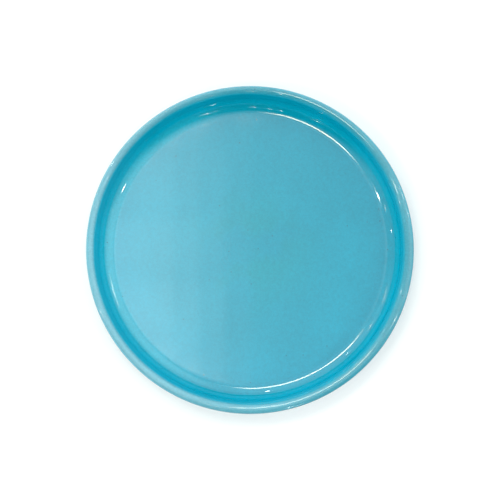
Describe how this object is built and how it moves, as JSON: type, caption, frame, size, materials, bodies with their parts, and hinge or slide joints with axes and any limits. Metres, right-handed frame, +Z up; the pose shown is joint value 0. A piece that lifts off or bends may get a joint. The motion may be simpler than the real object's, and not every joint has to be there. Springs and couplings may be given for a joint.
{
  "type": "round dish",
  "caption": "Round shallow dish with a level floor, straight sides and a rounded rim, in glazed clay, standing on a bare ring foot.",
  "frame": {"origin": "centre of the foot ring, at the height of the surface that the dish stands on", "axes": "+Z up, along the axis that the dish is turned about; X and Y are alike"},
  "size_m": [0.2, 0.2, 0.032],
  "materials": {
    "fired_clay": "bare, unglazed, fine-grained",
    "inside_glaze": "glossy turquoise glaze",
    "outside_glaze": "glossy turquoise glaze",
    "underside_glaze": "glossy turquoise glaze"
  },
  "bodies": {
    "root": {"clay_body": "fired_clay", "inside_glaze": "inside_glaze", "outside_glaze": "outside_glaze", "underside_glaze": "underside_glaze"}
  },
  "joints": []
}
